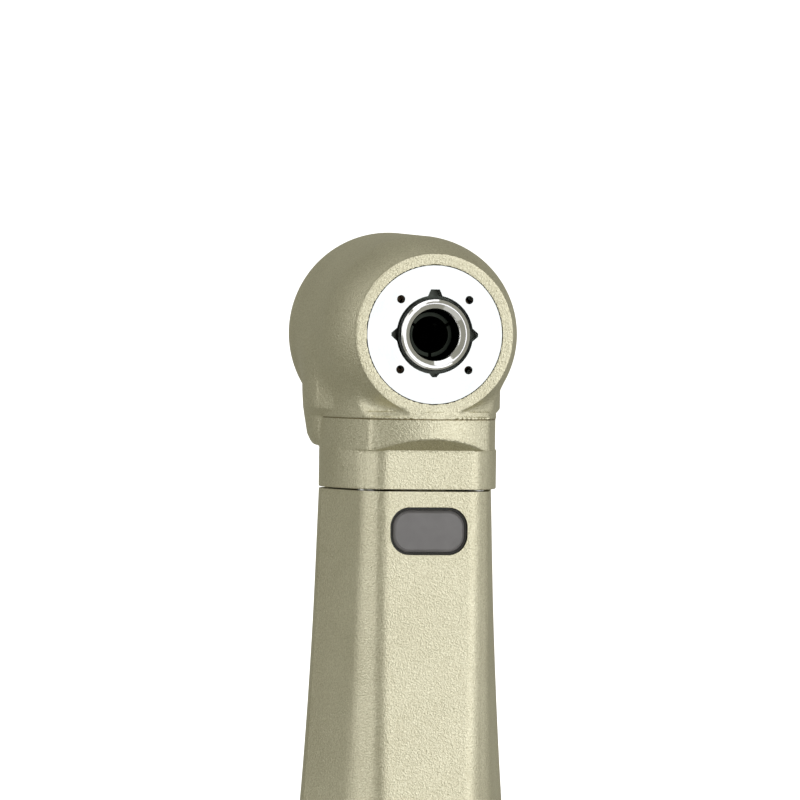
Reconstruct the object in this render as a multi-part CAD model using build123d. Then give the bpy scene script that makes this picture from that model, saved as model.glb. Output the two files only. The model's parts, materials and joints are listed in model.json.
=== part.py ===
from build123d import *
import math
import os

# Speed-increasing (1:5) contra-angle dental handpiece for an electric motor, in millimetres.
# Row frame: origin at the centre of the coupling's rear face, +Z along the handle towards the
# bend, the bur side faces -Y. The neck leans 20 degrees towards +Y from the bend.

# ---- overall layout ----
BEND_Z = 60.0            # where the handle axis and the neck axis cross
BEND_DEG = 20.0          # angle between the two axes
NECK_LEN = 34.0          # from the bend to the bur axis, along the neck
SEAM_DROP = 6.95         # from the bur axis down to the joint between head and handle
SEAM_GAP = 0.08          # hairline gap of that joint
LEDGE_DROP = 3.72        # from the bur axis down to the sharp ledge under the drum
STEP_DROP = 5.15         # from the bur axis down to where the neck's front flat begins
NECK_FRONT = 4.4         # from the neck axis to the front flat
CROWN_R = 5.085          # rounded front of the neck above the flat
CROWN_HALF_W = 2.55      # where the crown meets the flat's plane
NECK_HALF_W = 3.93       # neck's half width at the joint

# ---- head drum, along the bur axis (0 on the neck axis, + towards the bur) ----
RIM_U = 5.0
RIM_R = 3.6
RIM_CHAMFER = 0.1
DRUM_FRONT_R = 4.4       # where the flare starts
DRUM_FRONT_U = 1.5
DRUM_R = 4.55            # widest place
DRUM_WIDE_U = -3.7
DRUM_BACK_U = -5.2
DRUM_BACK_R = 4.25
CHAMBER_R = 3.4
CAP_BACK_U = -6.6
CAP_BACK_R = 3.7
CAP_FLOOR_U = -5.2
BUTTON_R = 2.98
BUTTON_FLANGE_R = 3.25
BUTTON_BACK_U = -8.7
BUTTON_INSIDE_U = -7.4
BUTTON_TRAVEL = 0.8

# ---- shoulder between drum and neck ----
CHIN = 0.38              # height of the sloped edge above the ledge
FACET_SLOPE = 0.77       # rise of the facet under the crown for 1 mm forwards
LOBE_SIZES = (           # half width, half width further back, back, height above the bend
    (3.86, 3.96, 4.05, 28.95),
    (3.88, 4.13, 4.4, 29.45),
    (3.9, 4.24, 4.7, 30.3),
    (3.95, 4.3, 4.9, 31.3),
    (4.1, 4.4, 5.0, 34.0),
)

# ---- face plate and chuck nose ----
PLATE_R = 3.08
PLATE_THICK = 0.55
PLATE_HOLE_R = 1.74
NOTCHES = (              # turn in degrees, half width at the opening, half width at the end, end radius
    (90, 0.36, 0.2, 2.0),
    (0, 0.36, 0.07, 1.97),
    (180, 0.36, 0.07, 1.97),
    (270, 0.3, 0.1, 1.88),
)
SPRAY_PCD_R = 2.19
SPRAY_HOLE_R = 0.185
NOSE_R = 1.6
NOSE_FRONT_U = 5.22
NOSE_BORE_R = 1.12
COLLET_R = 0.97
COLLET_BORE_R = 0.82     # takes a 1.6 mm bur shank
COLLET_FRONT_U = 4.1
COLLET_BACK_U = -6.2
COLLET_TRAVEL = 0.3

# ---- gears ----
RING_TEETH = 25
NECK_PINION_TEETH = 9
NECK_GEAR_TEETH = 18
SPINDLE_PINION_TEETH = 10
BEND_CONE_OUT = 7.7      # cone distance of the bend gears' large ends
BEND_CONE_IN = 5.4
HEAD_CONE_OUT = 3.5      # cone distance of the head gears' large ends
HEAD_CONE_IN = 2.9

# ---- bearings: bore, outside, ball and pitch radii, ball count ----
HEAD_BEARING = (1.4, 2.8, 0.3, 2.15, 9)
NECK_BEARING = (1.1, 2.8, 0.4, 1.95, 9)
SHAFT_BEARING = (1.5, 3.5, 0.6, 2.5, 8)
FRONT_BEARING_U = (3.27, 4.42)
BACK_BEARING_U = (-4.42, -3.27)
NECK_FRONT_BEARING_Z = (29.2, 30.8)
NECK_REAR_BEARING_Z = (1.3, 2.9)
SHAFT_FRONT_BEARING_Z = (46.2, 48.2)
SHAFT_REAR_BEARING_Z = (31.0, 33.0)
NECK_BEARING_SEAT_R = 2.8

# ---- light window and conduits ----
WINDOW_DROP = 8.7
WINDOW_W = 3.24
WINDOW_H = 1.84
WINDOW_CORNER = 0.74
WINDOW_BEZEL = 0.14
WINDOW_BACK = 3.9        # depth of the window's recess, from the neck axis
ROD_R = 0.5
TUBE_R = 0.42
TUBE_BORE_R = 0.26
ROD_NECK = (0, -3.38)    # light rod, in the neck and in the handle
ROD_HANDLE = (0, -5.45)
TUBE_NECK = (2.45, -2.75)
TUBE_HANDLE = (3.9, -3.8)

# ---- handle ----
REAR_RING_R = 9.3
REAR_RING_LEN = 2.0
HANDLE_REAR_R = 9.6
GRIP_SIZES = ((7.0, 52), (8.15, 40), (9.05, 26), (9.47, 14), (HANDLE_REAR_R, 2.05))  # radius, height
SOCKET_R = 7.8           # bore for the motor's spigot
SOCKET_DEPTH = 22.2
SLEEVE_R = 8.4
COLOUR_RING_Z = (6.0, 7.2)
SHAFT_END_Z = 25.2
DOG_Z = (22.6, 27.2)
DOG_R = 3.0
DOG_PIN_Z = 26.0
DOG_PIN_R = 0.4
DOG_TRAVEL = 1.5
CARRIER_R = 4.3

# ---- shafts ----
NECK_SHAFT_R = 1.1
REAR_SHAFT_R = 1.5
RUN = 0.05               # play of the running fits, on the radius
FIT = 0.02               # play of the pressed and screwed fits, on the radius

SIN_BEND = math.sin(math.radians(BEND_DEG))
COS_BEND = math.cos(math.radians(BEND_DEG))
NECK = Plane(origin=(0, 0, BEND_Z), x_dir=(1, 0, 0), z_dir=(0, SIN_BEND, COS_BEND)).location
HEAD_IN_NECK = Plane(origin=(0, 0, NECK_LEN), x_dir=(1, 0, 0), z_dir=(0, -1, 0)).location
HEAD = NECK * HEAD_IN_NECK
SEAM_Z = NECK_LEN - SEAM_DROP
LEDGE_Z = NECK_LEN - LEDGE_DROP
STEP_Z = NECK_LEN - STEP_DROP
WINDOW_Z = NECK_LEN - WINDOW_DROP


# ---- helpers ----
def turned(*profile):
    """Solid of revolution about Z from a closed outline of (radius, height) points."""
    outline = make_face(Polyline(*profile, close=True))
    return revolve(Plane.XZ * outline, axis=Axis.Z)


def tube(inner_r, outer_r, low, high):
    """Plain hollow cylinder between two heights."""
    return turned((inner_r, low), (outer_r, low), (outer_r, high), (inner_r, high))


def rod(radius, low, high):
    """Plain solid cylinder between two heights."""
    return Pos(0, 0, (low + high) / 2) * Cylinder(radius, high - low)


def around(piece, count, first_deg=0.0):
    """Copies of a piece spaced evenly about Z."""
    return [Rot(0, 0, first_deg + index * 360 / count) * piece for index in range(count)]


def ring_torus(centre_r, wire_r, height):
    """O-ring at one height."""
    return Pos(0, 0, height) * Torus(centre_r, wire_r)


def coil_spring(mean_r, wire_r, low, high, turns):
    """Round-wire compression spring between two heights."""
    rise = high - low - 2 * wire_r
    path = Pos(0, 0, low + wire_r) * Helix(pitch=rise / turns, height=rise, radius=mean_r)
    section = Plane(origin=path @ 0, z_dir=path % 0) * Circle(wire_r)
    return sweep(section, path=path, is_frenet=True)


def pipe_along(points, bends, outer_r, inner_r=0.0):
    """Round pipe or rod along straight runs joined by arcs."""
    path = FilletPolyline(*points, radius=bends)
    start = Plane(origin=path @ 0, z_dir=path % 0)
    piece = sweep(start * Circle(outer_r), path=path)
    if inner_r:
        piece -= sweep(start * Circle(inner_r), path=path)
    return piece


def bevel_prisms(count, lean_deg, cone_in, cone_out, outline, phase_deg):
    """Prisms that taper towards the apex at the origin, evenly spaced about Z.

    The outline is drawn across the pitch cone at cone_out: x around the gear, y away from its axis.
    """
    lean = math.radians(lean_deg)
    along = Vector(math.sin(lean), 0, math.cos(lean))
    ends = []
    for distance in (cone_in, cone_out):
        frame = Plane(origin=along * distance, x_dir=(0, 1, 0), z_dir=along)
        if frame.y_dir.X < 0:
            frame = Plane(origin=along * distance, x_dir=(0, -1, 0), z_dir=along)
        ends.append(frame * scale(make_face(Polyline(*outline, close=True)), distance / cone_out))
    return around(loft(ends, ruled=True), count, phase_deg)


def bevel_teeth(count, lean_deg, cone_in, cone_out, phase_deg):
    """Straight teeth of an external bevel gear."""
    module = 2 * cone_out * math.sin(math.radians(lean_deg)) / count
    tip_w, tip_h, root_w, root_h = 0.28 * module, 0.72 * module, 0.92 * module, -1.05 * module
    outline = [(-root_w, root_h), (root_w, root_h), (tip_w, tip_h), (-tip_w, tip_h)]
    return bevel_prisms(count, lean_deg, cone_in, cone_out, outline, phase_deg)


def internal_gaps(count, lean_deg, cone_in, cone_out, phase_deg):
    """Tooth gaps of an internal bevel gear, reaching past both of its ends."""
    module = 2 * cone_out * math.sin(math.radians(lean_deg)) / count
    root_w, root_h, mouth_w, mouth_h = 0.65 * module, 0.95 * module, 1.4 * module, -1.1 * module
    outline = [(-mouth_w, mouth_h), (mouth_w, mouth_h), (root_w, root_h), (-root_w, root_h)]
    reach = 1.15
    shrunk = [(x * reach, y * reach) for x, y in outline]
    return bevel_prisms(count, lean_deg, cone_in / reach, cone_out * reach, shrunk, phase_deg)


def ball_race(bore_r, outside_r, ball_r, pitch_r, low, high):
    """Outer and inner rings of a ball bearing, with their raceways."""
    middle = (low + high) / 2
    shoulder = 0.55 * ball_r
    raceway = ring_torus(pitch_r, ball_r + RUN / 2, middle)
    outer = tube(pitch_r + shoulder, outside_r, low, high) - raceway
    inner = tube(bore_r, pitch_r - shoulder, low, high) - raceway
    return outer, inner


def ball_set(ball_r, pitch_r, count, middle):
    """The ring of balls of one bearing."""
    return around(Pos(pitch_r, 0, middle) * Sphere(ball_r), count)


def ball_cage(ball_r, pitch_r, count, middle):
    """Cage ring with a round pocket for each ball."""
    half_t, half_w = 0.28 * ball_r, 1.35 * ball_r
    cage = tube(pitch_r - half_t, pitch_r + half_t, middle - half_w, middle + half_w)
    pocket = Pos(pitch_r, 0, middle) * (Rot(0, 90, 0) * Cylinder(ball_r + RUN / 2, 4 * half_t))
    return cage - around(pocket, count)


def neck_section(half_w, front, flat_half, chamfer, back, height, bulge=0.0):
    """Neck section: front flat, two 45 degree chamfers, bowed sides, round back.

    bulge goes from 0, with a plain flat and chamfers, to 1, where they are arcs of a circle.
    """
    side_x, side_y = flat_half + chamfer, chamfer - front
    side_mid = ((side_x + half_w) / 2 + 0.07 * abs(side_y), side_y / 2)
    flat_rise = bulge * flat_half ** 2 / (2 * half_w) + 0.001
    chamfer_rise = (bulge * chamfer ** 2 / (4 * half_w) + 0.001) * math.sqrt(0.5)
    chamfer_mid = (flat_half + chamfer / 2 + chamfer_rise, chamfer / 2 - front - chamfer_rise)

    def mirrored(point):
        return -point[0], point[1]

    outline = [
        ThreePointArc((-flat_half, -front), (0, -front - flat_rise), (flat_half, -front)),
        ThreePointArc((flat_half, -front), chamfer_mid, (side_x, side_y)),
        ThreePointArc((side_x, side_y), side_mid, (half_w, 0)),
        ThreePointArc((half_w, 0), (0, back), (-half_w, 0)),
        ThreePointArc((-half_w, 0), mirrored(side_mid), (-side_x, side_y)),
        ThreePointArc((-side_x, side_y), mirrored(chamfer_mid), (-flat_half, -front)),
    ]
    return Pos(0, 0, height) * make_face(outline)


def round_section(radius, height):
    """A circle with the same six edges as a neck section."""
    side, top = math.sin(math.radians(30)), math.cos(math.radians(30))
    return neck_section(radius, top * radius, side * radius, (top - side) * radius, radius, height, 1.0)


# ---- head and its cover parts ----
def drum_form():
    """Outside of the drum about the bur axis: flared front, straight side, rounded back."""
    chamfer_u = RIM_U - RIM_CHAMFER
    profile = [
        Line((0, RIM_U), (RIM_R - RIM_CHAMFER, RIM_U)),
        Line((RIM_R - RIM_CHAMFER, RIM_U), (RIM_R, chamfer_u)),
        ThreePointArc((RIM_R, chamfer_u), (4.17, 3.35), (DRUM_FRONT_R, DRUM_FRONT_U)),
        Line((DRUM_FRONT_R, DRUM_FRONT_U), (DRUM_R, DRUM_WIDE_U)),
        ThreePointArc((DRUM_R, DRUM_WIDE_U), (4.48, -4.55), (DRUM_BACK_R, DRUM_BACK_U)),
        Line((DRUM_BACK_R, DRUM_BACK_U), (0, DRUM_BACK_U)),
        Line((0, DRUM_BACK_U), (0, RIM_U)),
    ]
    return revolve(Plane.XZ * make_face(profile), axis=Axis.Z)


def shoulder_section(half_w, corner, front, back, height):
    """Section with a rounded front between two corners, bowed sides and a round back."""
    corner_x, corner_y = corner
    side_mid = ((corner_x + half_w) / 2 + 0.12, -corner_y / 2)

    def mirrored(point):
        return -point[0], point[1]

    left, right = (-corner_x, -corner_y), (corner_x, -corner_y)
    outline = [
        ThreePointArc(left, (0, -front), right),
        ThreePointArc(right, side_mid, (half_w, 0)),
        ThreePointArc((half_w, 0), (0, back), (-half_w, 0)),
        ThreePointArc((-half_w, 0), mirrored(side_mid), left),
    ]
    return Pos(0, 0, height) * make_face(outline)


def lobe_section(half_w, rear_half_w, back, height):
    """Section of the rear fairing: widest behind the neck's axis, flat at the back."""
    edge, bulge, heel = (half_w, 0), (rear_half_w, 0.46 * back), (0.52 * rear_half_w, back)

    def mirrored(point):
        return -point[0], point[1]

    outline = [
        Line(mirrored(edge), edge),
        ThreePointArc(edge, bulge, heel),
        Line(heel, mirrored(heel)),
        ThreePointArc(mirrored(heel), mirrored(bulge), mirrored(edge)),
    ]
    return Pos(0, 0, height) * make_face(outline)


def head_form():
    """Drum, shoulder and neck stub as one outer form, in the neck's frame."""
    stub = loft([
        neck_section(3.92, NECK_FRONT, 2.22, 0.66, 4.0, SEAM_Z + SEAM_GAP),
        neck_section(NECK_HALF_W, NECK_FRONT, 2.22, 0.66, 4.02, LEDGE_Z),
    ], ruled=True)
    crown = extrude(shoulder_section(NECK_HALF_W, (CROWN_HALF_W, NECK_FRONT), CROWN_R, 4.02, STEP_Z),
                    amount=LEDGE_Z - STEP_Z)
    slope = Polyline((-NECK_FRONT, STEP_Z), (-NECK_FRONT - 1, STEP_Z + FACET_SLOPE),
                     (-NECK_FRONT - 1, STEP_Z), close=True)
    crown -= extrude(Plane.YZ * make_face(slope), amount=6, both=True)
    chin_z = LEDGE_Z + CHIN
    chin = loft([
        shoulder_section(NECK_HALF_W, (CROWN_HALF_W, NECK_FRONT), CROWN_R, 4.02, LEDGE_Z),
        shoulder_section(4.28, (2.78, 4.36), 5.0, 4.1, chin_z),
    ], ruled=True)
    shoulder = loft([
        shoulder_section(4.28, (2.78, 4.36), 5.0, 4.1, chin_z),
        shoulder_section(4.3, (2.9, 3.4), 4.1, 4.3, LEDGE_Z + 1.8),
        shoulder_section(4.38, (3.1, 2.2), 2.7, 4.4, NECK_LEN),
    ])
    lobe = loft([lobe_section(*size) for size in LOBE_SIZES])
    return stub + crown + chin + shoulder + lobe + HEAD_IN_NECK * drum_form()


def make_head_housing():
    """One-piece head: the drum with the chuck's chamber, and the neck stub down to the joint."""
    seat_u = RIM_U - PLATE_THICK
    chamber = turned(
        (0, RIM_U + 1), (PLATE_R, RIM_U + 1), (PLATE_R, seat_u), (2.8, seat_u), (2.8, 3.2),
        (CHAMBER_R, 3.2), (CHAMBER_R, -3.2), (2.8, -3.2), (2.8, -4.62), (3.45, -4.62),
        (3.45, DRUM_BACK_U - 1), (0, DRUM_BACK_U - 1),
    )
    gear_bore = rod(CHAMBER_R, NECK_LEN - 3.15, NECK_LEN)
    bearing_bore = rod(NECK_BEARING_SEAT_R, SEAM_Z - 1, NECK_LEN - 3.0)
    body = NECK * (head_form() - HEAD_IN_NECK * chamber - gear_bore - bearing_bore)
    for side in (-1, 1):
        channel = rod(TUBE_R + FIT, SEAM_Z - 1, SEAM_Z + 1.2)
        body -= NECK * Pos(side * TUBE_NECK[0], TUBE_NECK[1], 0) * channel
    return body


def make_head_cap():
    """Threaded ring that closes the drum and guides the push button."""
    return HEAD * turned(
        (1.9, -4.75), (3.43, -4.75), (3.43, DRUM_BACK_U - 0.04), (DRUM_BACK_R, DRUM_BACK_U - 0.04),
        (4.02, -5.95), (CAP_BACK_R, CAP_BACK_U), (BUTTON_R + RUN, CAP_BACK_U),
        (BUTTON_R + RUN, -6.3), (BUTTON_FLANGE_R + RUN, -6.3), (BUTTON_FLANGE_R + RUN, CAP_FLOOR_U),
        (1.9, CAP_FLOOR_U),
    )


def make_preload_washer():
    """Preload washer between the back bearing and the cap ring."""
    return HEAD * tube(2.35, 2.75, -4.73, -4.44)


def make_push_button():
    """Domed button; its flange is held by the cap ring's lip."""
    flange_u = CAP_FLOOR_U - BUTTON_TRAVEL - FIT
    profile = [
        Line((0.6, BUTTON_BACK_U + 0.06), (1.5, BUTTON_BACK_U)),
        ThreePointArc((1.5, BUTTON_BACK_U), (2.56, -8.25), (BUTTON_R, -7.35)),
        Line((BUTTON_R, -7.35), (BUTTON_R, flange_u - 0.24)),
        Line((BUTTON_R, flange_u - 0.24), (BUTTON_FLANGE_R, flange_u - 0.24)),
        Line((BUTTON_FLANGE_R, flange_u - 0.24), (BUTTON_FLANGE_R, flange_u)),
        Line((BUTTON_FLANGE_R, flange_u), (2.45, flange_u)),
        Line((2.45, flange_u), (2.45, BUTTON_INSIDE_U)),
        Line((2.45, BUTTON_INSIDE_U), (0.6, BUTTON_INSIDE_U)),
        Line((0.6, BUTTON_INSIDE_U), (0.6, BUTTON_BACK_U + 0.06)),
    ]
    return HEAD * revolve(Plane.XZ * make_face(profile), axis=Axis.Z)


def make_button_pin():
    """Pusher pin pressed through the button; it opens the collet."""
    tip_u = COLLET_BACK_U - (BUTTON_TRAVEL - COLLET_TRAVEL) - FIT
    return HEAD * turned(
        (0, BUTTON_BACK_U + 0.1), (0.6, BUTTON_BACK_U + 0.1), (0.6, BUTTON_INSIDE_U),
        (0.75, BUTTON_INSIDE_U), (0.75, -7.0), (0.6, tip_u), (0, tip_u),
    )


def make_button_spring():
    """Return spring under the button."""
    return HEAD * coil_spring(2.2, 0.15, BUTTON_INSIDE_U + FIT, CAP_FLOOR_U - FIT, 2.5)


def make_face_plate():
    """Spray plate: central opening with four key notches, and four spray holes."""
    plate = tube(PLATE_HOLE_R, PLATE_R - FIT, RIM_U - PLATE_THICK, RIM_U)
    mouth_r = PLATE_HOLE_R - 0.1
    for turn, mouth_w, end_w, end_r in NOTCHES:
        outline = Polyline((mouth_r, -mouth_w), (end_r, -end_w), (end_r, end_w), (mouth_r, mouth_w), close=True)
        plate -= Rot(0, 0, turn) * Pos(0, 0, RIM_U - 1) * extrude(make_face(outline), amount=2)
    hole = Pos(SPRAY_PCD_R, 0, 0) * rod(SPRAY_HOLE_R, RIM_U - 1, RIM_U + 1)
    return HEAD * (plate - around(hole, 4, 45))


# ---- spindle group, turning about the bur axis ----
def make_spindle():
    """Hollow spindle that holds the collet and carries the pinion and both bearings."""
    bore_r = COLLET_R + 0.03
    return HEAD * turned(
        (bore_r, -5.0), (1.2, -5.0), (1.2, -4.45), (1.4, -4.45), (1.4, -3.25), (1.15, -3.25),
        (1.15, 3.25), (1.4, 3.25), (1.4, 4.6), (1.3, 4.6), (1.3, 4.95),
        (1.19, 4.95), (1.19, 3.35), (bore_r, 3.35),
    )


def make_nose_ring():
    """Polished ring on the spindle's nose, with a turned groove around the bore."""
    return HEAD * turned(
        (1.31, 4.63), (1.5, 4.63), (NOSE_R, 4.75), (NOSE_R, 5.05), (1.56, NOSE_FRONT_U - 0.06),
        (1.48, NOSE_FRONT_U), (1.41, NOSE_FRONT_U - 0.02), (1.38, NOSE_FRONT_U - 0.08),
        (1.35, NOSE_FRONT_U - 0.04), (NOSE_BORE_R + 0.05, NOSE_FRONT_U - 0.16),
        (NOSE_BORE_R, 5.0), (NOSE_BORE_R, 4.97), (1.31, 4.97),
    )


def make_spindle_nut():
    """Nut that clamps the back bearing's inner ring on the spindle."""
    return HEAD * tube(1.2, 1.75, -5.0, -4.46)


def make_collet():
    """Spring collet that grips the bur's shank: slotted head, sleeve and end flange."""
    body = turned(
        (COLLET_BORE_R, -6.0), (COLLET_R, -6.0), (COLLET_R, 3.4), (1.16, 3.4), (1.16, 3.8),
        (0.98, 3.95), (0.98, COLLET_FRONT_U), (COLLET_BORE_R, COLLET_FRONT_U),
    )
    flange = rod(1.45, COLLET_BACK_U, -6.0)
    slot = Pos(1.0, 0, 3.1) * Box(1.0, 0.14, 2.4)
    return HEAD * (body + flange - around(slot, 3, 30))


def make_collet_spring():
    """Spring that pulls the collet back into its cone."""
    return HEAD * coil_spring(1.22, 0.07, -5.98, -5.02, 2.5)


# ---- gears ----
def bevel_gear(count, lean_deg, cone_in, cone_out, bore_r, phase_deg=0.0, hub=None):
    """External straight bevel gear about Z, its apex at the origin, opening along +Z."""
    lean = math.radians(lean_deg)
    module = 2 * cone_out * math.sin(lean) / count
    drop = 0.95 * module
    ends = []
    for distance in (cone_in, cone_out):
        share = distance / cone_out
        radius = distance * math.sin(lean) - drop * share * math.cos(lean)
        ends.append((radius, distance * math.cos(lean) + drop * share * math.sin(lean)))
    (in_r, in_z), (out_r, out_z) = ends
    outline = [(bore_r, in_z), (in_r, in_z), (out_r, out_z)]
    if hub:
        hub_r, hub_top = hub
        outline += [(out_r, out_z + 0.12), (hub_r, out_z + 0.3), (hub_r, hub_top), (bore_r, hub_top)]
    else:
        outline += [(bore_r, out_z)]
    return turned(*outline) + bevel_teeth(count, lean_deg, cone_in, cone_out, phase_deg)


def head_gear_angles():
    """Pitch cone angles of the head's 90 degree pair: neck gear, spindle pinion."""
    pinion = math.degrees(math.atan2(SPINDLE_PINION_TEETH, NECK_GEAR_TEETH))
    return 90 - pinion, pinion


def bend_gear_angles():
    """Pitch cone angles of the bend's internal pair: ring gear, neck pinion."""
    ratio = RING_TEETH / NECK_PINION_TEETH
    pinion = math.degrees(math.atan2(SIN_BEND, ratio - COS_BEND))
    return pinion + BEND_DEG, pinion


def make_spindle_pinion():
    """Bevel pinion on the spindle, on the bur side of the neck gear."""
    lean = head_gear_angles()[1]
    tooth_at = 270 % (360 / SPINDLE_PINION_TEETH)
    return HEAD * bevel_gear(SPINDLE_PINION_TEETH, lean, HEAD_CONE_IN, HEAD_CONE_OUT, 1.15, tooth_at)


def make_neck_gear():
    """Bevel gear on the neck shaft that drives the spindle pinion."""
    lean = head_gear_angles()[0]
    gap_at = 90 % (360 / NECK_GEAR_TEETH) - 180 / NECK_GEAR_TEETH
    hub_end = NECK_LEN - NECK_FRONT_BEARING_Z[1] - FIT
    gear = bevel_gear(NECK_GEAR_TEETH, lean, HEAD_CONE_IN, HEAD_CONE_OUT, NECK_SHAFT_R, gap_at,
                      hub=(1.6, hub_end))
    return NECK * Pos(0, 0, NECK_LEN) * Rot(180, 0, 0) * gear


def make_neck_pinion():
    """Bevel pinion on the neck shaft's lower end, inside the ring gear."""
    lean = bend_gear_angles()[1]
    tooth_at = 90 % (360 / NECK_PINION_TEETH)
    gear = bevel_gear(NECK_PINION_TEETH, lean, BEND_CONE_IN, BEND_CONE_OUT, 0.6, tooth_at)
    return NECK * Rot(180, 0, 0) * gear


def make_ring_gear():
    """Internal bevel gear carried by the rear shaft's cup."""
    lean_deg = bend_gear_angles()[0]
    lean = math.radians(lean_deg)
    module = 2 * BEND_CONE_OUT * math.sin(lean) / RING_TEETH
    tips = []
    for distance in (BEND_CONE_IN, BEND_CONE_OUT):
        rise = 0.72 * module * distance / BEND_CONE_OUT
        radius = distance * math.sin(lean) - rise * math.cos(lean)
        tips.append((radius, distance * math.cos(lean) + rise * math.sin(lean)))
    (in_r, in_z), (out_r, out_z) = tips
    body = turned((in_r, in_z), (out_r, out_z), (4.32, out_z), (4.32, 9.0), (4.85, 9.0),
                  (4.85, in_z + 0.5), (4.4, in_z))
    tooth_pitch = 360 / RING_TEETH
    gaps = internal_gaps(RING_TEETH, lean_deg, BEND_CONE_IN, BEND_CONE_OUT, 90 % tooth_pitch)
    return Pos(0, 0, BEND_Z) * Rot(180, 0, 0) * (body - gaps)


# ---- neck shaft and handle shaft ----
def make_neck_shaft():
    """Long shaft through the neck, with a seat for each bearing and gear."""
    rear_high, front_low = NECK_REAR_BEARING_Z[1] + FIT, NECK_FRONT_BEARING_Z[0] - FIT
    return NECK * turned(
        (0, -7.6), (0.6, -7.6), (0.6, -5.05), (NECK_SHAFT_R, -4.9), (NECK_SHAFT_R, rear_high),
        (1.35, rear_high), (1.35, 6), (1.2, 7), (1.2, 26), (1.35, 27), (1.35, front_low),
        (NECK_SHAFT_R, front_low), (NECK_SHAFT_R, NECK_LEN - 1.66), (0, NECK_LEN - 1.66),
    )


def make_bearing_nut():
    """Ring nut under the neck's front bearing."""
    low = NECK_FRONT_BEARING_Z[0] - 0.75
    return NECK * tube(1.7, NECK_BEARING_SEAT_R - FIT, low, NECK_FRONT_BEARING_Z[0] - FIT)


def make_rear_shaft():
    """Drive shaft in the handle, with the cup that carries the ring gear."""
    rear_high, front_low = SHAFT_REAR_BEARING_Z[1] + FIT, SHAFT_FRONT_BEARING_Z[0] - FIT
    front_high = SHAFT_FRONT_BEARING_Z[1] + FIT
    shaft = turned(
        (0, SHAFT_END_Z), (1.3, SHAFT_END_Z), (REAR_SHAFT_R, SHAFT_END_Z + 0.2),
        (REAR_SHAFT_R, rear_high), (2.0, rear_high), (2.0, front_low), (REAR_SHAFT_R, front_low),
        (REAR_SHAFT_R, front_high), (1.9, front_high), (1.9, 50.6), (4.3, 51.0), (4.3, 51.95),
        (1.2, 51.95), (1.0, 51.4), (0, 51.4),
    )
    pin_hole = Rot(0, 90, 0) * Cylinder(DOG_PIN_R + FIT / 2, 8)
    return shaft - Pos(0, 0, DOG_PIN_Z) * pin_hole


def make_drive_dog():
    """Spring-loaded dog that takes the motor's drive: two prongs, and slots for its pin."""
    low, high = DOG_Z
    body = turned((REAR_SHAFT_R + RUN, low + 1.4), (2.0, low), (2.7, low), (DOG_R, low + 0.4),
                  (DOG_R, high), (REAR_SHAFT_R + RUN, high))
    notch = Pos(0, 0, low + 0.6) * Box(8, 2.2, 1.2)
    slot_half = DOG_PIN_R + RUN
    slot_mid = DOG_PIN_Z - DOG_TRAVEL / 2
    slot = Pos(0, 0, slot_mid) * Box(8, 2 * slot_half, DOG_TRAVEL + 2 * slot_half)
    return body - notch - slot


def make_dog_pin():
    """Cross pin that drives the dog and stops it coming off."""
    return Pos(0, 0, DOG_PIN_Z) * (Rot(0, 90, 0) * Cylinder(DOG_PIN_R, 2 * DOG_R - 0.2))


def make_dog_spring():
    """Spring that pushes the dog towards the motor."""
    return coil_spring(2.1, 0.22, DOG_Z[1] + FIT, SHAFT_REAR_BEARING_Z[0] - FIT, 3.5)


def conduit_points(in_neck, in_handle, top_z):
    """Route of a tube or of the light rod: down the neck, round the bend, down the handle."""
    x, y = in_neck
    outward = 1 + 0.35 / math.hypot(x, y)
    return [
        (NECK * Pos(x, y, top_z)).position,
        (NECK * Pos(x * outward, y * outward, 0.5)).position,
        Vector(in_handle[0], in_handle[1], 56),
        Vector(in_handle[0], in_handle[1], SOCKET_DEPTH + 0.1),
    ]


def conduit(in_neck, in_handle, top_z, outer_r, inner_r=0.0):
    """A tube or rod along its route."""
    return pipe_along(conduit_points(in_neck, in_handle, top_z), (7, 5), outer_r, inner_r)


def mirrored_side(spot, side):
    """The same place on the left (-1) or right (1) side."""
    return side * spot[0], spot[1]


def make_fluid_tube(side):
    """Water tube (-1) or air tube (1) from the coupling to the head."""
    return conduit(mirrored_side(TUBE_NECK, side), mirrored_side(TUBE_HANDLE, side),
                   SEAM_Z + 1.1, TUBE_R, TUBE_BORE_R)


def make_light_rod():
    """Glass rod that carries the motor's light to the window."""
    return conduit(ROD_NECK, ROD_HANDLE, WINDOW_Z, ROD_R)


def make_shaft_carrier():
    """Tube with two flanges that holds the handle shaft's bearings in the shell."""
    carrier = turned(
        (3.5, 24.3), (3.5, 48.5), (CARRIER_R, 48.5), (CARRIER_R, 48.0), (6.73, 48.0), (6.88, 46.0),
        (CARRIER_R, 46.0), (CARRIER_R, 24.3), (SLEEVE_R, 24.3), (SLEEVE_R, 22.3), (3.2, 22.3),
        (3.2, 24.3),
    )
    step = tube(2.9, 3.5, 33.05, 34.0) + tube(2.9, 3.5, 45.2, 46.15)
    return carrier + step - conduit_channels()


def conduit_channels():
    """Channels that the two tubes and the light rod run in."""
    channels = [conduit(ROD_NECK, ROD_HANDLE, WINDOW_Z, ROD_R + FIT)]
    for side in (-1, 1):
        in_neck, in_handle = mirrored_side(TUBE_NECK, side), mirrored_side(TUBE_HANDLE, side)
        channels.append(conduit(in_neck, in_handle, SEAM_Z + 0.5, TUBE_R + FIT))
    return channels


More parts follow.
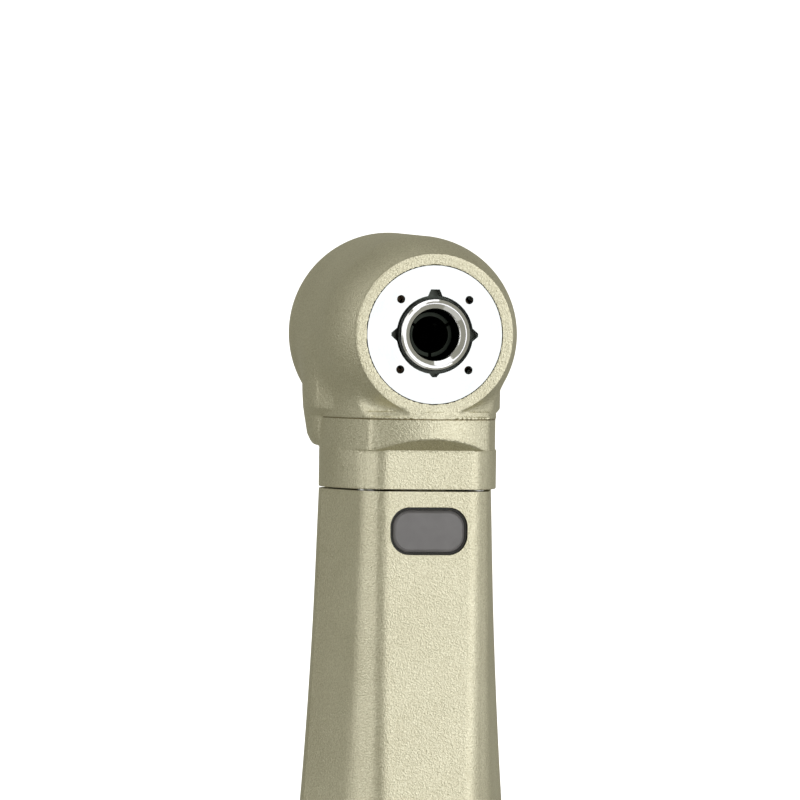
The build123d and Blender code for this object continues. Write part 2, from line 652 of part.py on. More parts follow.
# ---- handle shell and coupling ----
def handle_form():
    """Outside of the handle: faceted neck that rounds off through the bend into the grip."""
    bend_middle = Pos(0, 0, BEND_Z) * Rot(-BEND_DEG / 2, 0, 0)
    bend_section = bend_middle * neck_section(6.05, 5.6, 2.75, 1.85, 6.05, 0, 0.7)
    neck = loft([
        NECK * neck_section(3.92, NECK_FRONT, 2.22, 0.66, 4.0, SEAM_Z),
        NECK * neck_section(4.15, 4.42, 2.2, 0.78, 4.15, 20.5),
        NECK * neck_section(4.58, 4.55, 2.2, 0.98, 4.5, 13.3),
        NECK * neck_section(5.2, 4.98, 2.35, 1.36, 5.1, 6.5, 0.25),
        bend_section,
    ])
    (top_r, top_z), *lower = GRIP_SIZES
    throat = loft([bend_section, round_section(top_r, top_z)], ruled=True)
    grip = [
        Spline((top_r, top_z), *lower, tangents=((0.1, -1), (0, -1))),
        Line(lower[-1], (0, lower[-1][1])),
        Line((0, lower[-1][1]), (0, top_z)),
        Line((0, top_z), (top_r, top_z)),
    ]
    return neck + throat + revolve(Plane.XZ * make_face(grip), axis=Axis.Z)


def window_form(grow, low_y, high_y):
    """Round-cornered slug through the front flat at the window's place."""
    outline = RectangleRounded(WINDOW_W + 2 * grow, WINDOW_H + 2 * grow, WINDOW_CORNER + grow)
    plane = Plane(origin=(0, -low_y, WINDOW_Z), x_dir=(1, 0, 0), z_dir=(0, -1, 0))
    return NECK * extrude(plane * outline, amount=high_y - low_y)


def make_handle_shell():
    """Hollow handle from the joint under the head to the rear ring."""
    cavity = turned(
        (0, 0), (SLEEVE_R + FIT, 0), (SLEEVE_R + FIT, 26), (6.9, 46), (6.6, 50), (5.95, 56),
        (5.0, 60), (4.2, 62.5), (0, 64),
    )
    cavity -= NECK * rod(20, 0.9, 20)
    rear_low, rear_high = NECK_REAR_BEARING_Z
    seat = rod(NECK_BEARING_SEAT_R, 0, rear_high)
    bore = rod(2.3, rear_high, SEAM_Z + 2)
    spigot = tube(2.3, NECK_BEARING_SEAT_R - 0.03, SEAM_Z - 0.5, SEAM_Z + 1.2)
    spigot -= ring_torus(2.66, 0.13, SEAM_Z + 0.6)
    ring_groove = tube(9.1, 11, *COLOUR_RING_Z)
    window_hole = window_form(WINDOW_BEZEL, WINDOW_BACK, NECK_FRONT + 1)
    shell = handle_form() + NECK * spigot - cavity - NECK * (seat + bore) - ring_groove - window_hole
    return shell - conduit_channels()


def make_light_window():
    """Light window with a bevelled rim, its face slightly below the metal."""
    plane = Plane(origin=(0, -WINDOW_BACK - FIT, WINDOW_Z), x_dir=(1, 0, 0), z_dir=(0, -1, 0))
    outline = RectangleRounded(WINDOW_W, WINDOW_H, WINDOW_CORNER)
    lens = extrude(plane * outline, amount=NECK_FRONT - WINDOW_BACK)
    lens = chamfer(lens.faces().sort_by(Axis.Y)[0].edges(), 0.12)
    return NECK * lens


def make_window_gasket():
    """Dark seal around the window."""
    return window_form(WINDOW_BEZEL - FIT, WINDOW_BACK, NECK_FRONT - 0.12) - window_form(
        FIT, WINDOW_BACK - 0.1, NECK_FRONT + 0.1)


def make_joint_seal():
    """O-ring on the spigot between head and handle."""
    return NECK * ring_torus(2.66, 0.12, SEAM_Z + 0.6)


def make_coupling_sleeve():
    """Steel liner of the socket, with grooves for the snap ring and the seals."""
    sleeve = tube(SOCKET_R, SLEEVE_R, REAR_RING_LEN + 0.05, SOCKET_DEPTH)
    grooves = [ring_torus(8.03, 0.2, z) for z in (6.0, 12.0, 15.0, 18.0)]
    return sleeve - grooves


def make_snap_ring():
    """Wire ring that snaps onto the motor's spigot."""
    return ring_torus(8.03, 0.18, 6.0) - Pos(8, 0, 6.0) * Box(2, 1.6, 1)


def make_coupling_seals():
    """Three O-rings that part the air, water and chip-air channels."""
    return [ring_torus(8.03, 0.18, z) for z in (12.0, 15.0, 18.0)]


def make_colour_ring():
    """Coloured ratio ring around the grip's rear end."""
    low, high = COLOUR_RING_Z
    return tube(9.12, HANDLE_REAR_R - 0.04, low + FIT, high - FIT)


def make_end_ring():
    """Rear ring that closes the shell and meets the motor."""
    return turned(
        (SOCKET_R + 0.3, 0), (REAR_RING_R - 0.3, 0), (REAR_RING_R, 0.3), (REAR_RING_R, 1.7),
        (HANDLE_REAR_R - 0.1, REAR_RING_LEN), (SOCKET_R, REAR_RING_LEN), (SOCKET_R, 0.3),
    )


def make_bearing(frame, sizes, span, name):
    """Four pieces of one ball bearing between two heights of its own frame."""
    bore_r, outside_r, ball_r, pitch_r, count = sizes
    low, high = span
    middle = (low + high) / 2
    outer, inner = ball_race(bore_r, outside_r, ball_r, pitch_r, low, high)
    return {
        name + "_outer_ring": frame * outer,
        name + "_inner_ring": frame * inner,
        name + "_balls": [frame * ball for ball in ball_set(ball_r, pitch_r, count, middle)],
        name + "_cage": frame * ball_cage(ball_r, pitch_r, count, middle),
    }


def make_all():
    """Every named piece in its place."""
    whole = Location()
    pieces = {
        "head_housing": make_head_housing(),
        "head_cap": make_head_cap(),
        "preload_washer": make_preload_washer(),
        "push_button": make_push_button(),
        "button_pin": make_button_pin(),
        "button_spring": make_button_spring(),
        "face_plate": make_face_plate(),
        "spindle": make_spindle(),
        "spindle_pinion": make_spindle_pinion(),
        "spindle_nut": make_spindle_nut(),
        "nose_ring": make_nose_ring(),
        "collet": make_collet(),
        "collet_spring": make_collet_spring(),
        "neck_shaft": make_neck_shaft(),
        "neck_gear": make_neck_gear(),
        "neck_pinion": make_neck_pinion(),
        "bearing_nut": make_bearing_nut(),
        "joint_seal": make_joint_seal(),
        "handle_shell": make_handle_shell(),
        "light_window": make_light_window(),
        "window_gasket": make_window_gasket(),
        "light_rod": make_light_rod(),
        "water_tube": make_fluid_tube(-1),
        "air_tube": make_fluid_tube(1),
        "rear_shaft": make_rear_shaft(),
        "ring_gear": make_ring_gear(),
        "shaft_carrier": make_shaft_carrier(),
        "drive_dog": make_drive_dog(),
        "dog_pin": make_dog_pin(),
        "dog_spring": make_dog_spring(),
        "coupling_sleeve": make_coupling_sleeve(),
        "snap_ring": make_snap_ring(),
        "coupling_seals": make_coupling_seals(),
        "colour_ring": make_colour_ring(),
        "end_ring": make_end_ring(),
    }
    pieces |= make_bearing(HEAD, HEAD_BEARING, FRONT_BEARING_U, "head_front_bearing")
    pieces |= make_bearing(HEAD, HEAD_BEARING, BACK_BEARING_U, "head_back_bearing")
    pieces |= make_bearing(NECK, NECK_BEARING, NECK_FRONT_BEARING_Z, "neck_front_bearing")
    pieces |= make_bearing(NECK, NECK_BEARING, NECK_REAR_BEARING_Z, "neck_rear_bearing")
    pieces |= make_bearing(whole, SHAFT_BEARING, SHAFT_FRONT_BEARING_Z, "shaft_front_bearing")
    pieces |= make_bearing(whole, SHAFT_BEARING, SHAFT_REAR_BEARING_Z, "shaft_rear_bearing")
    return pieces


os.makedirs("parts", exist_ok=True)
for node, piece in make_all().items():
    solids = piece if isinstance(piece, list) else [piece]
    export_step(Compound(children=[Part(s.wrapped) for s in solids]), f"parts/{node}.step")
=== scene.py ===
import itertools
import json
import math

import bmesh
import bpy
import numpy as np
from mathutils import Matrix, Vector


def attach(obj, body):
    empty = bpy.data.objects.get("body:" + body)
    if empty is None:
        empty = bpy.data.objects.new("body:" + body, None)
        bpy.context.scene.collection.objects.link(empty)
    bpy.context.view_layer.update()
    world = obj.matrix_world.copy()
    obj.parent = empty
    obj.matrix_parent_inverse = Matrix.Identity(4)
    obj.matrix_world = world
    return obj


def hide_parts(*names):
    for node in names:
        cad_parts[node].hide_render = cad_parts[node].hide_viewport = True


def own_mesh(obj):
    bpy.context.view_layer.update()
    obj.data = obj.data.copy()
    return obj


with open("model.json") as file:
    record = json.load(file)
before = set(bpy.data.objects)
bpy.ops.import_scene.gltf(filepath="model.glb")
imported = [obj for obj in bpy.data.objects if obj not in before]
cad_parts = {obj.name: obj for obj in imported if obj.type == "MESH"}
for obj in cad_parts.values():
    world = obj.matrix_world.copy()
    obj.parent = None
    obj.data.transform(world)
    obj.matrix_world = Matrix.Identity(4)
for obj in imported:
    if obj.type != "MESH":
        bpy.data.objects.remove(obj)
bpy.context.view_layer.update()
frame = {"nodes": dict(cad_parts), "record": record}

# ---- layout shared with the CAD, in metres ----
MM = 0.001
HEAD_TILT = math.radians(20)   # lean of the neck, away from the bur side
BEND_HEIGHT = 0.060            # where the handle's axis meets the neck's axis
NECK_LENGTH = 0.034            # from there to the bur axis
BUR_AXIS = Vector((0, -math.cos(HEAD_TILT), math.sin(HEAD_TILT)))
NECK_AXIS = Vector((0, math.sin(HEAD_TILT), math.cos(HEAD_TILT)))
SIDE_AXIS = Vector((1, 0, 0))
HEAD_CENTRE = Vector((0, NECK_LENGTH * math.sin(HEAD_TILT), BEND_HEIGHT + NECK_LENGTH * math.cos(HEAD_TILT)))
UPRIGHT_CENTRE = Matrix.Rotation(HEAD_TILT, 3, "X") @ HEAD_CENTRE   # the same with the neck turned upright


# ---- node helpers ----
class Nodes:
    """Builds a material's node tree with short calls."""

    def __init__(self, name):
        self.material = bpy.data.materials.new(name)
        self.material.use_nodes = True
        self.tree = self.material.node_tree
        self.shader = self.tree.nodes["Principled BSDF"]

    def add(self, kind, **settings):
        node = self.tree.nodes.new(kind)
        for key, value in settings.items():
            setattr(node, key, value)
        return node

    def link(self, source, target):
        self.tree.links.new(source, target)

    def set(self, **values):
        for key, value in values.items():
            socket = self.shader.inputs[key.replace("_", " ").title().replace("Ior", "IOR")]
            socket.default_value = value

    def coordinates(self, rotation=(0, 0, 0)):
        """Object coordinates, turned by a mapping node."""
        source = self.add("ShaderNodeTexCoord")
        mapping = self.add("ShaderNodeMapping", vector_type="POINT")
        mapping.inputs["Rotation"].default_value = rotation
        self.link(source.outputs["Object"], mapping.inputs["Vector"])
        return mapping.outputs["Vector"]

    def noise(self, vector, scale, detail=2.0, roughness=0.5, distortion=0.0):
        node = self.add("ShaderNodeTexNoise")
        node.inputs["Scale"].default_value = scale
        node.inputs["Detail"].default_value = detail
        node.inputs["Roughness"].default_value = roughness
        node.inputs["Distortion"].default_value = distortion
        self.link(vector, node.inputs["Vector"])
        return node.outputs["Fac"]

    def math(self, operation, a, b=None):
        node = self.add("ShaderNodeMath", operation=operation)
        for socket, value in zip(node.inputs, (a, b)):
            if value is None:
                continue
            if isinstance(value, (int, float)):
                socket.default_value = value
            else:
                self.link(value, socket)
        return node.outputs["Value"]

    def ramp(self, factor, *stops):
        """Colour ramp; each stop is (position, (r, g, b))."""
        node = self.add("ShaderNodeValToRGB")
        elements = node.color_ramp.elements
        while len(elements) < len(stops):
            elements.new(0.5)
        for element, (position, colour) in zip(elements, stops):
            element.position = position
            element.color = (*colour, 1)
        self.link(factor, node.inputs["Fac"])
        return node.outputs["Color"]

    def span(self, factor, low, high):
        """Maps 0..1 to low..high."""
        node = self.add("ShaderNodeMapRange")
        node.inputs["To Min"].default_value = low
        node.inputs["To Max"].default_value = high
        self.link(factor, node.inputs["Value"])
        return node.outputs["Result"]

    def bump(self, height, distance):
        node = self.add("ShaderNodeBump")
        node.inputs["Distance"].default_value = distance
        self.link(height, node.inputs["Height"])
        return node.outputs["Normal"]

    def mix(self, factor, a, b):
        node = self.add("ShaderNodeMix", data_type="RGBA")
        self.link(factor, node.inputs["Factor"])
        self.link(a, node.inputs["A"])
        self.link(b, node.inputs["B"])
        return node.outputs["Result"]

    def surface(self, colour=None, roughness=None, normal=None):
        """Links what is given to the shader and returns the material."""
        for socket, value in (("Base Color", colour), ("Roughness", roughness), ("Normal", normal)):
            if value is not None:
                self.link(value, self.shader.inputs[socket])
        return self.material


# ---- materials ----
GRAIN = 13000.0          # blasted grain, cells per metre
GRAIN_DEPTH = 3.2e-5
DARK_CHAMPAGNE = (0.58, 0.545, 0.40)
LIGHT_CHAMPAGNE = (0.85, 0.82, 0.655)
# painted shadow: a dark brown hairline under the head's ledge stands in for the shade beneath the step; these
# give its height and half height
LEDGE_SHADOW_DROP = 3.755 * MM      # from the bur axis down to the middle of the ledge's hairline
LEDGE_SHADOW_HALF = 0.030 * MM


def ledge_shadow_line(m):
    """0.8 in the painted shadow line under the head's ledge, 0 elsewhere."""
    upright = m.coordinates(rotation=(HEAD_TILT, 0, 0))
    split = m.add("ShaderNodeSeparateXYZ")
    m.link(upright, split.inputs["Vector"])
    height = m.math("SUBTRACT", split.outputs["Z"], UPRIGHT_CENTRE.z - LEDGE_SHADOW_DROP)
    near = m.math("LESS_THAN", m.math("ABSOLUTE", height), LEDGE_SHADOW_HALF)
    ahead = m.math("LESS_THAN", split.outputs["Y"], UPRIGHT_CENTRE.y - 0.2 * MM)
    return m.math("MULTIPLY", m.math("MULTIPLY", near, ahead), 0.8)


def champagne_metal(name, ledge=False):
    """Bead-blasted champagne coating: leathery fine grain, pearly speckle, faint large-scale variation; with
    ledge, a painted shadow line in dark brown under the head's ledge.
    """
    m = Nodes(name)
    where = m.coordinates()
    grain = m.noise(where, GRAIN, detail=2.5, roughness=0.6, distortion=0.4)
    speckle = m.noise(where, GRAIN * 2.1, detail=1.0)
    drift = m.noise(where, 260.0, detail=2.0)
    shade = m.math("ADD", m.math("MULTIPLY", grain, 0.55), m.math("MULTIPLY", speckle, 0.3))
    shade = m.math("ADD", shade, m.math("MULTIPLY", drift, 0.15))
    colour = m.ramp(shade, (0.36, DARK_CHAMPAGNE), (0.64, LIGHT_CHAMPAGNE))
    # painted shadow: dark brown mixed into the colour in a hairline under the ledge, where the step's shade
    # falls
    if ledge:
        shadow_brown = m.ramp(grain, (0.3, (0.16, 0.12, 0.05)), (0.7, (0.26, 0.21, 0.10)))
        colour = m.mix(ledge_shadow_line(m), colour, shadow_brown)
    gloss = m.math("ADD", m.math("MULTIPLY", speckle, 0.6), m.math("MULTIPLY", drift, 0.4))
    m.set(metallic=1.0)
    return m.surface(colour, m.span(gloss, 0.29, 0.43), m.bump(grain, GRAIN_DEPTH))


def cloudy(name, dark, light, rough, metallic=1.0, scale=3000.0, depth=1e-6, **more):
    """Metal, glass or enamel whose colour, gloss and height vary a little with one noise."""
    m = Nodes(name)
    grain = m.noise(m.coordinates(), scale, detail=3.0)
    m.set(metallic=metallic, **more)
    return m.surface(m.ramp(grain, (0.3, dark), (0.7, light)),
                     m.span(grain, rough * 0.8, rough * 1.2), m.bump(grain, depth))


def face_plate_steel():
    """Turned silver-white steel: fine rings about the bur axis, a little broken up, with soft blotches."""
    m = Nodes("plate_steel")
    where = m.coordinates(rotation=(HEAD_TILT, 0, 0))
    split = m.add("ShaderNodeSeparateXYZ")
    m.link(where, split.inputs["Vector"])
    up = m.math("SUBTRACT", split.outputs["Z"], UPRIGHT_CENTRE.z)
    square = m.math("ADD", m.math("POWER", split.outputs["X"], 2.0), m.math("POWER", up, 2.0))
    radius = m.math("SQRT", square)
    ring = m.add("ShaderNodeCombineXYZ")
    m.link(radius, ring.inputs["X"])
    m.link(m.math("MULTIPLY", m.math("ARCTAN2", up, split.outputs["X"]), 2.5e-4), ring.inputs["Y"])
    rings = m.noise(ring.outputs["Vector"], 16000.0, detail=3.0, roughness=0.65)
    blotch = m.noise(where, 900.0, detail=3.0)
    grain = m.noise(where, 15000.0, detail=1.0)
    shade = m.math("ADD", m.math("MULTIPLY", rings, 0.5), m.math("MULTIPLY", blotch, 0.3))
    shade = m.math("ADD", shade, m.math("MULTIPLY", grain, 0.2))
    m.set(metallic=1.0)
    colour = m.ramp(shade, (0.35, (0.74, 0.77, 0.81)), (0.65, (0.86, 0.885, 0.91)))
    return m.surface(colour, m.span(rings, 0.26, 0.40), m.bump(rings, 1.2e-6))


def window_look():
    """Cloudy dark grey glass with a thin clear coat."""
    m = Nodes("window_glass")
    where = m.coordinates()
    cloud = m.noise(where, 1500.0, detail=2.0)
    m.set(metallic=0.0, coat_weight=0.25, coat_roughness=0.2)
    return m.surface(m.ramp(cloud, (0.3, (0.108, 0.104, 0.108)), (0.7, (0.128, 0.123, 0.128))),
                     m.span(cloud, 0.32, 0.42), m.bump(cloud, 4e-6))


def rubber(name):
    """Fine-grained black rubber."""
    m = Nodes(name)
    grain = m.noise(m.coordinates(), 9000.0, detail=2.0)
    black = m.ramp(grain, (0.3, (0.016, 0.016, 0.016)), (0.7, (0.024, 0.024, 0.024)))
    return m.surface(black, m.span(grain, 0.5, 0.7), m.bump(grain, 5e-6))


champagne = champagne_metal("champagne_metal")
# the head's coating carries the painted shadow line under the ledge
champagne_head = champagne_metal("champagne_head", ledge=True)
# painted shade: near-black steel for the spindle and collet, so the chuck's bore reads dark
bore_painted_shade = cloudy("bore_painted_shade", (0.020, 0.024, 0.020), (0.034, 0.040, 0.034), 0.4)
looks = {
    "champagne_metal": champagne,
    "champagne_polished": cloudy("champagne_polished", (0.64, 0.60, 0.46), (0.74, 0.70, 0.55), 0.2),
    "gear_steel": cloudy("gear_steel", (0.40, 0.39, 0.38), (0.54, 0.53, 0.51), 0.3, scale=6000.0),
    "spring_steel": cloudy("spring_steel", (0.30, 0.30, 0.31), (0.40, 0.40, 0.42), 0.28),
    "ball": cloudy("ball", (0.76, 0.76, 0.78), (0.84, 0.84, 0.86), 0.06),
    "cage": cloudy("cage", (0.15, 0.085, 0.04), (0.24, 0.14, 0.07), 0.5, metallic=0.0, depth=4e-6),
    "tube_steel": cloudy("tube_steel", (0.54, 0.54, 0.55), (0.66, 0.66, 0.67), 0.3),
    "rod_glass": cloudy("rod_glass", (0.72, 0.76, 0.78), (0.82, 0.86, 0.88), 0.08, metallic=0.0,
                        transmission_weight=0.6),
    "red_ring": cloudy("red_ring", (0.40, 0.015, 0.015), (0.52, 0.035, 0.03), 0.3, metallic=0.0,
                       coat_weight=0.4),
    "plate_steel": face_plate_steel(),
    "chrome": cloudy("chrome", (0.86, 0.86, 0.88), (0.92, 0.92, 0.94), 0.08),
    "steel": cloudy("steel", (0.50, 0.50, 0.51), (0.62, 0.62, 0.63), 0.25),
    "hard_steel": cloudy("hard_steel", (0.05, 0.055, 0.05), (0.09, 0.10, 0.09), 0.35),
    "window_glass": window_look(),
    "gasket": rubber("gasket"),
    "seal": rubber("seal"),
}


def dress_cad():
    """Gives every CAD node its slot's material; the spindle and collet, seen down the chuck, get a near-black
    steel instead, painted shade for the dark bore.
    """
    for sub in frame["record"]["subparts"]:
        node = sub["node"]
        # painted shade: the spindle and collet get the near-black bore material in place of their slot's
        material = bore_painted_shade if node in ("spindle", "collet") else looks[sub["material_slot"]]
        for slot in frame["nodes"][node].material_slots:
            slot.material = material


dress_cad()

# ---- head housing as a distance field, in millimetres from the head's centre ----
# x to the side, u out along the bur axis, v up along the neck axis
RIM_U, DRUM_BACK_U = 5.0, -5.2
LEDGE_V, FACET_V, SEAM_V = -3.72, -5.15, -6.87
NECK_FRONT, NECK_SIDE = 4.4, 3.93
PLATE_SEAT_R, PLATE_SEAT_U = 3.08, 4.45
BEARING_SEAT_R, BEARING_SEAT_U = 2.8, 4.62
CHAMBER_R, CHAMBER_U = 3.4, 3.2
CAP_BORE_R = 3.45
GEAR_BORE_V = -3.15
TUBE_X, TUBE_U, TUBE_SOCKET_R, TUBE_SOCKET_V = 2.45, 2.75, 0.44, -5.7
WALL_HALF_W = 4.29
SHOULDER_R, FLARE_R = 4.70, 5.20
WINDOW_V, WINDOW_FLOOR_U = -8.7, 3.9
WINDOW_HALF_W, WINDOW_HALF_H, WINDOW_CORNER = 1.76, 1.06, 0.88
NET_STEP = 0.075


def arc_points(start, middle, end, count=40):
    """Points along the circular arc through three (u, r) points."""
    (x1, y1), (x2, y2), (x3, y3) = start, middle, end
    d = 2 * (x1 * (y2 - y3) + x2 * (y3 - y1) + x3 * (y1 - y2))
    s1, s2, s3 = x1 * x1 + y1 * y1, x2 * x2 + y2 * y2, x3 * x3 + y3 * y3
    cx = (s1 * (y2 - y3) + s2 * (y3 - y1) + s3 * (y1 - y2)) / d
    cy = (s1 * (x3 - x2) + s2 * (x1 - x3) + s3 * (x2 - x1)) / d
    a = np.unwrap([math.atan2(y - cy, x - cx) for x, y in (start, middle, end)])
    first_half = np.linspace(a[0], a[1], count // 2, endpoint=False)
    turn = np.concatenate([first_half, np.linspace(a[1], a[2], count // 2)])
    radius = math.hypot(x1 - cx, y1 - cy)
    return [(cx + radius * math.cos(t), cy + radius * math.sin(t)) for t in turn]


DRUM_LINE = np.array(sorted(
    [(RIM_U + 0.2, 3.54), (RIM_U - 0.02, 3.585)]
    + arc_points((4.9, 3.60), (3.35, 4.17), (1.5, 4.40))
    + arc_points((-3.7, 4.55), (-4.55, 4.48), (-5.2, 4.25))))
# height, half width at the neck's axis, half width further back, back
LOBE_SIZES = np.array([
    (-5.30, 3.60, 3.55, 3.60),
    (-5.05, 3.84, 3.92, 4.05),
    (-4.55, 3.88, 4.13, 4.40),
    (-3.72, 3.92, 4.24, 4.70),
    (-3.35, 4.27, 4.30, 4.78),
    (-2.70, 4.29, 4.33, 4.90),
    (0.00, 4.30, 4.40, 5.00),
])


def join(a, b, blend):
    """Union of two distance fields with a rounded inner corner."""
    h = np.maximum(blend - np.abs(a - b), 0) / blend
    return np.minimum(a, b) - h * h * blend / 4


def cut(a, b, blend):
    """What two fields share, with a rounded outer corner."""
    return -join(-a, -b, blend)


def drum_field(x, u, v):
    """Round drum about the bur axis."""
    radius = np.interp(u, DRUM_LINE[:, 0], DRUM_LINE[:, 1])
    side = (np.hypot(x, v) - radius) * 0.97
    return cut(cut(side, u - RIM_U, 0.05), DRUM_BACK_U - u, 0.12)


def side_field(ax, u, corner, half_w, bow):
    """Bowed side wall from a front corner (x, u) to the widest place, then round the back."""
    lean = (half_w - corner[0]) / corner[1]
    t = np.clip(u / corner[1], 0, 1)
    front = (ax + lean * u - half_w - 4 * bow * t * (1 - t)) / math.hypot(1, lean)
    return np.where(u > 0, front, np.hypot(ax, u * 0.977) - half_w)


def crown_field(ax, u, v, radius, corner, low, high):
    """Neck section with a round front, between two heights."""
    front = np.hypot(ax, u) - radius
    side = side_field(ax, u, corner, NECK_SIDE, 0.22)
    return cut(cut(cut(front, side, 0.10), low - v, 0.04), v - high, 0.04)


def stub_field(ax, u, v):
    """Neck section with a flat front and two chamfers, down to the joint."""
    side = side_field(ax, u, (2.88, 3.74), NECK_SIDE, 0.26)
    chamfer = (ax + u - 6.62) * math.sqrt(0.5)
    shape = cut(cut(u - NECK_FRONT, chamfer, 0.26), side, 0.16)
    return cut(cut(shape, SEAM_V - v, 0.05), v - FACET_V, 0.02)


def shoulder_field(ax, u, v):
    """Round-fronted shoulder that flares down to the ledge, between walls sloped in at the bottom."""
    ahead = np.maximum(u, 0)
    wall = cut((ax + 0.38 * ahead - WALL_HALF_W) / 1.07,
               (ax + 0.327 * ahead - 0.95 * (v - LEDGE_V) - NECK_SIDE) / 1.42, 0.05)
    wall = cut(wall, np.hypot(ax, u) - SHOULDER_R, 0.35)
    rise = np.clip(v - LEDGE_V + 0.25, 0.25, 1.2)
    inset = 0.466 - (1.2 - np.sqrt(1.44 - (1.2 - rise) ** 2))
    side = side_field(ax, u, (2.75, 4.35), NECK_SIDE, 0.22)
    flare = cut(np.hypot(ax, u) - FLARE_R + inset, side, 0.10)
    return cut(cut(np.maximum(np.minimum(wall, flare), LEDGE_V - v), -u - 0.5, 0.05), v + 0.3, 0.05)


def lobe_field(ax, u, v):
    """Rear fairing between drum and neck: in plan an arc through the side, a wider place and the heel."""
    half_w, rear_w, back = (np.interp(v, LOBE_SIZES[:, 0], LOBE_SIZES[:, i]) for i in (1, 2, 3))
    x2, y2, x3, y3 = rear_w, 0.46 * back, 0.62 * rear_w, back
    d = 2 * (half_w * (y2 - y3) + x2 * y3 - x3 * y2)
    s1, s2, s3 = half_w ** 2, x2 ** 2 + y2 ** 2, x3 ** 2 + y3 ** 2
    centre_x = (s1 * (y2 - y3) + s2 * y3 - s3 * y2) / d
    centre_y = (s1 * (x3 - x2) + s2 * (half_w - x3) + s3 * (x2 - half_w)) / d
    arc = np.hypot(ax - centre_x, -u - centre_y) - np.hypot(half_w - centre_x, centre_y)
    plan = cut(np.where(ax < centre_x, np.minimum(arc, -u - back), arc), -u - back, 0.5)
    return cut(cut(cut(plan, u - 0.3, 0.06), -5.06 - v, 0.25), v + 0.3, 0.05)


def cavity_field(x, u, v):
    """Chuck chamber, gear and bearing bores and the tubes' sockets."""
    r = np.hypot(x, v)
    seats = np.minimum(np.maximum(r - PLATE_SEAT_R, PLATE_SEAT_U - u),
                       np.maximum(r - BEARING_SEAT_R, np.abs(u) - BEARING_SEAT_U))
    chamber = np.minimum(seats, np.maximum(r - CHAMBER_R, np.abs(u) - CHAMBER_U))
    chamber = np.minimum(chamber, np.maximum(r - CAP_BORE_R, u + BEARING_SEAT_U))
    q = np.hypot(x, u)
    bores = np.minimum(np.maximum(q - CHAMBER_R, np.maximum(v, GEAR_BORE_V - v)),
                       np.maximum(q - BEARING_SEAT_R, v + 3.0))
    sockets = np.maximum(np.hypot(np.abs(x) - TUBE_X, u - TUBE_U) - TUBE_SOCKET_R, v - TUBE_SOCKET_V)
    return np.minimum(np.minimum(chamber, bores), sockets)


def head_field(x, u, v):
    """Whole head: drum, shoulder, lobe, crown and stub, less the cavity."""
    ax = np.abs(x)
    drum, lobe = drum_field(x, u, v), lobe_field(ax, u, v)
    body = np.minimum(join(drum, shoulder_field(ax, u, v), 0.45), join(drum, lobe, 0.35))
    body = cut(body, u - RIM_U - 0.6 * np.maximum(-3.5 - v, 0), 0.05)
    body = np.minimum(np.minimum(np.maximum(body, LEDGE_V - v), lobe), drum)
    facet = (-v + FACET_V + 0.77 * (u - NECK_FRONT)) / 1.262
    crown = cut(crown_field(ax, u, v, 5.075, (2.68, 4.36), FACET_V, LEDGE_V + 0.3), facet, 0.05)
    solid = np.minimum(np.minimum(body, crown), stub_field(ax, u, v))
    return np.maximum(solid, -cavity_field(x, u, v))


def surface_net(field, low, high, step):
    """Quad mesh of a field's zero surface: one point per crossed cell, then moved onto the surface."""
    axes = [np.arange(a, b, step) for a, b in zip(low, high)]
    grid = field(*np.meshgrid(*axes, indexing="ij"))
    inside = grid < 0
    n = np.array(grid.shape) - 1
    corners = np.zeros(n, np.int8)
    for i, j, k in itertools.product((0, 1), repeat=3):
        corners += inside[i:i + n[0], j:j + n[1], k:k + n[2]]
    cells = np.argwhere((corners > 0) & (corners < 8))
    index = np.full(n, -1, np.int64)
    index[tuple(cells.T)] = np.arange(len(cells))
    total, count = np.zeros((len(cells), 3)), np.zeros((len(cells), 1))
    for axis in range(3):
        for pair in itertools.product((0, 1), repeat=2):
            start = np.insert(np.array(pair), axis, 0)
            end = start.copy()
            end[axis] = 1
            a, b = grid[tuple((cells + start).T)], grid[tuple((cells + end).T)]
            crossed = (a < 0) != (b < 0)
            share = np.where(crossed, a / np.where(crossed, a - b, 1), 0)
            point = (cells + start).astype(float)
            point[:, axis] += share
            total += point * crossed[:, None]
            count += crossed[:, None]
    points = np.array(low) + step * total / count
    for _ in range(4):
        value = field(*points.T)
        nudges = np.eye(3) * 0.005
        slope = np.stack([(field(*(points + d).T) - field(*(points - d).T)) / 0.01 for d in nudges], 1)
        move = value / np.maximum((slope ** 2).sum(1), 0.2)
        points -= np.clip(move, -step / 2, step / 2)[:, None] * slope
    faces = []
    for axis in range(3):
        e1, e2 = np.eye(3, dtype=int)[(axis + 1) % 3], np.eye(3, dtype=int)[(axis + 2) % 3]
        before = inside.take(range(n[axis]), axis)
        after = inside.take(range(1, n[axis] + 1), axis)
        at = np.argwhere(before != after)
        keep = (at @ e1 > 0) & (at @ e2 > 0) & (at @ e1 < n @ e1) & (at @ e2 < n @ e2)
        at = at[keep]
        quad = np.stack([index[tuple((at - s).T)] for s in (0 * e1, e1, e1 + e2, e2)], 1)
        flip = ~before[tuple(at.T)]
        quad[flip] = quad[flip][:, ::-1]
        faces.append(quad)
    return points, np.concatenate(faces)


def mesh_object(name, points, faces, material):
    """Smooth-shaded mesh object from points in metres."""
    data = bpy.data.meshes.new(name)
    data.from_pydata([tuple(p) for p in points.tolist()], [], [tuple(f) for f in faces.tolist()])
    data.polygons.foreach_set("use_smooth", [True] * len(data.polygons))
    data.materials.append(material)
    data.validate()
    data.set_sharp_from_angle(angle=math.radians(26))
    thing = bpy.data.objects.new(name, data)
    bpy.context.collection.objects.link(thing)
    return thing


HEAD_BASIS = np.array([tuple(SIDE_AXIS), tuple(BUR_AXIS), tuple(NECK_AXIS)])


